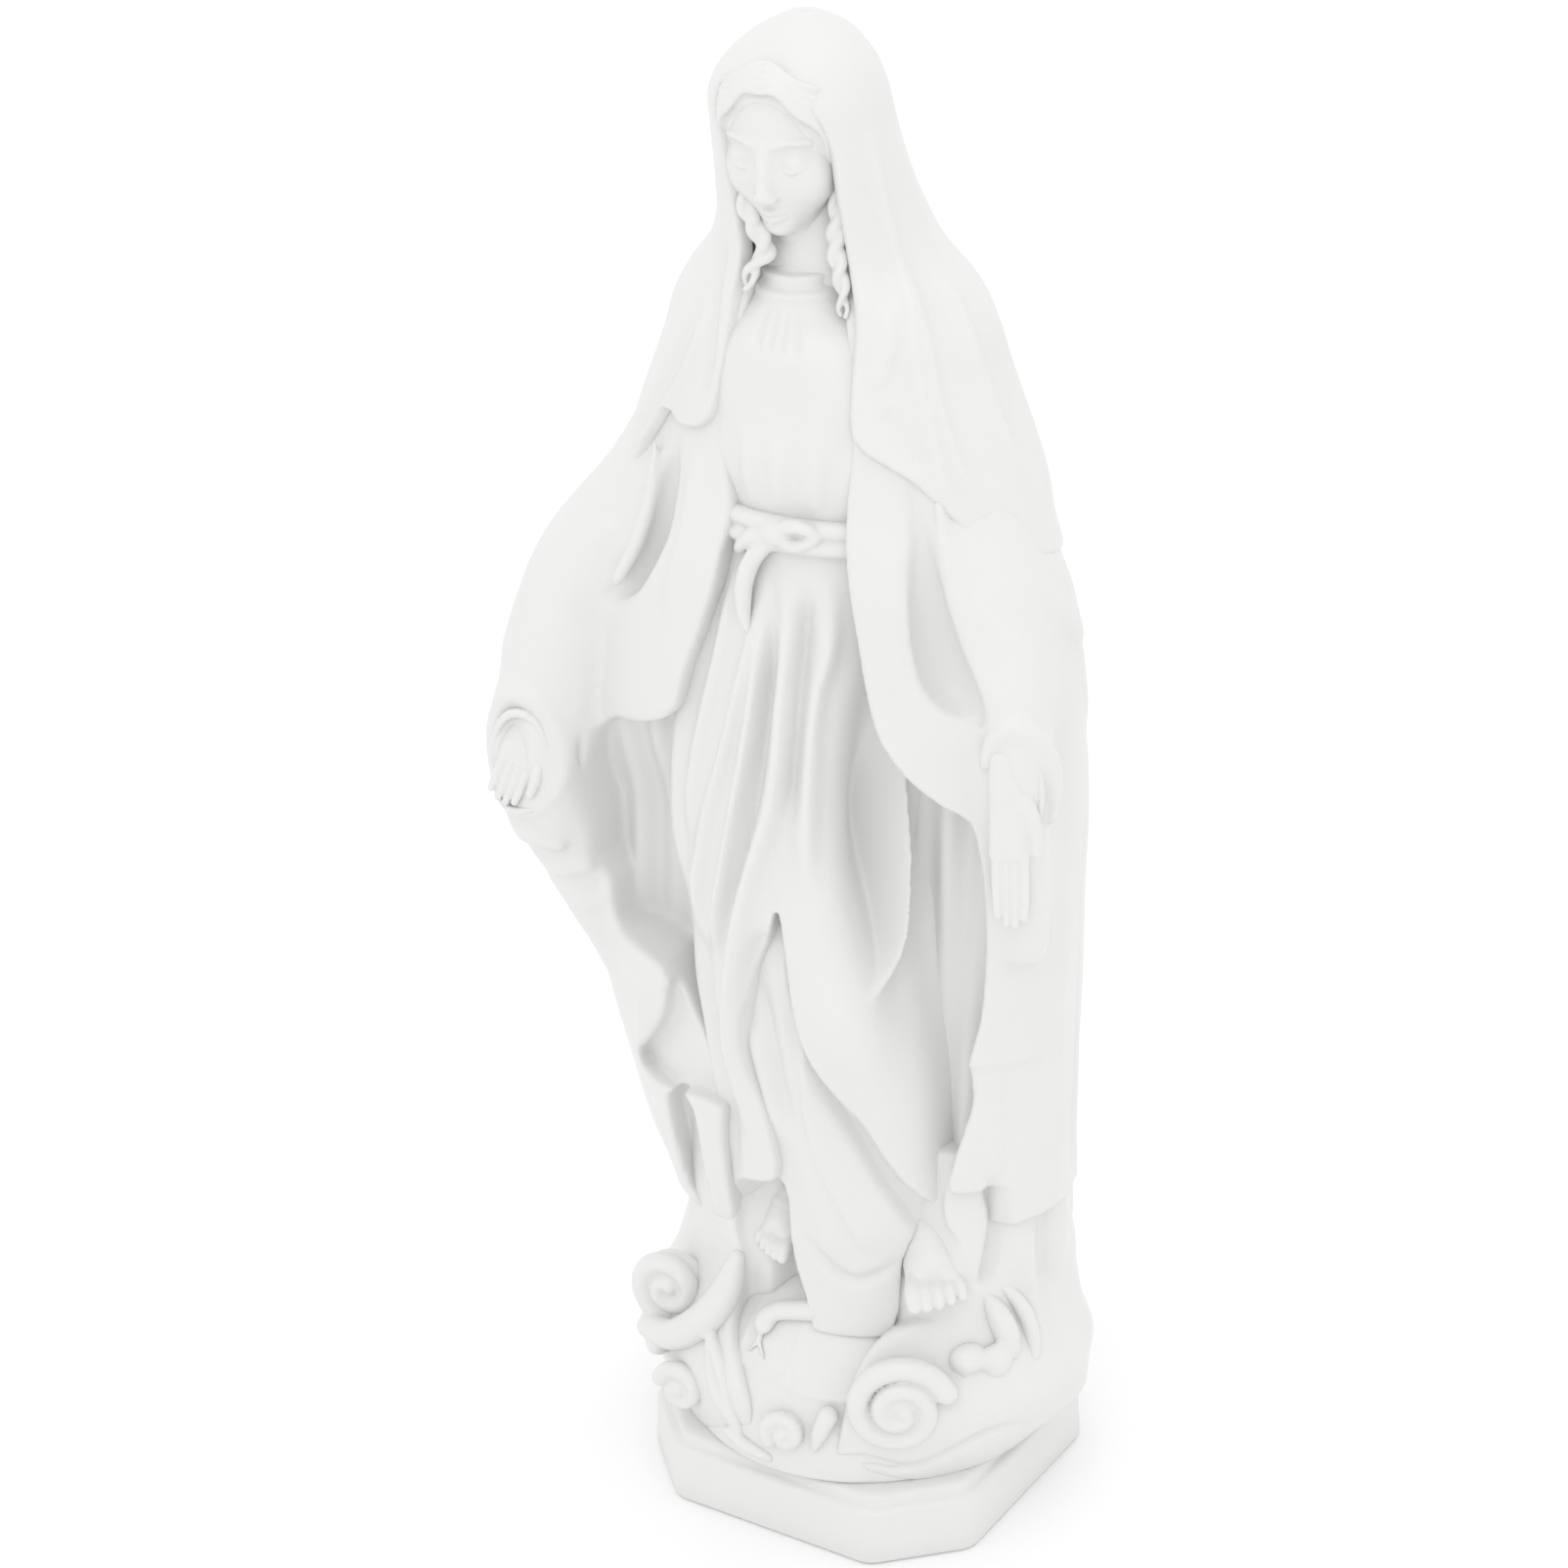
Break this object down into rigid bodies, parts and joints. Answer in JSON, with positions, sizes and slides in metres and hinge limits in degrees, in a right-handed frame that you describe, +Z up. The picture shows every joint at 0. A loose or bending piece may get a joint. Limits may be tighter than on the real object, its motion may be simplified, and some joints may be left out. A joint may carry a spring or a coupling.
{
  "type": "religious figurine",
  "caption": "White standing madonna figurine with open lowered hands, in gown, long mantle and veil, on a globe ringed by scrolled clouds over an octagonal plinth.",
  "frame": {"origin": "centre of the plinth's flat underside", "axes": "+Z up along the figure's height; the figure faces -Y; its own right hand is at -X"},
  "size_m": [0.1159, 0.0769, 0.3],
  "materials": {
    "plinth": "white cast resin with a satin gloss",
    "base_felt": "short-pile felt",
    "globe": "white cast resin with a satin gloss",
    "cloud_bank": "white cast resin with a satin gloss",
    "cloud_scrolls": "white cast resin with a satin gloss",
    "serpent": "white cast resin with a satin gloss",
    "underskirt": "white cast resin with a satin gloss",
    "gown": "white cast resin with a satin gloss",
    "sash": "white cast resin with a satin gloss",
    "mantle": "white cast resin with a satin gloss",
    "veil": "white cast resin with a satin gloss",
    "head": "white cast resin with a satin gloss",
    "hair": "white cast resin with a satin gloss",
    "right_cuff": "white cast resin with a satin gloss",
    "left_cuff": "white cast resin with a satin gloss",
    "right_hand": "white cast resin with a satin gloss",
    "left_hand": "white cast resin with a satin gloss",
    "right_foot": "white cast resin with a satin gloss",
    "left_foot": "white cast resin with a satin gloss"
  },
  "bodies": {
    "root": {"plinth": "plinth", "base_felt": "base_felt", "globe": "globe", "cloud_bank": "cloud_bank", "cloud_scrolls": "cloud_scrolls", "serpent": "serpent", "underskirt": "underskirt", "gown": "gown", "sash": "sash", "mantle": "mantle", "veil": "veil", "head": "head", "hair": "hair", "right_cuff": "right_cuff", "left_cuff": "left_cuff", "right_hand": "right_hand", "left_hand": "left_hand", "right_foot": "right_foot", "left_foot": "left_foot"}
  },
  "joints": []
}
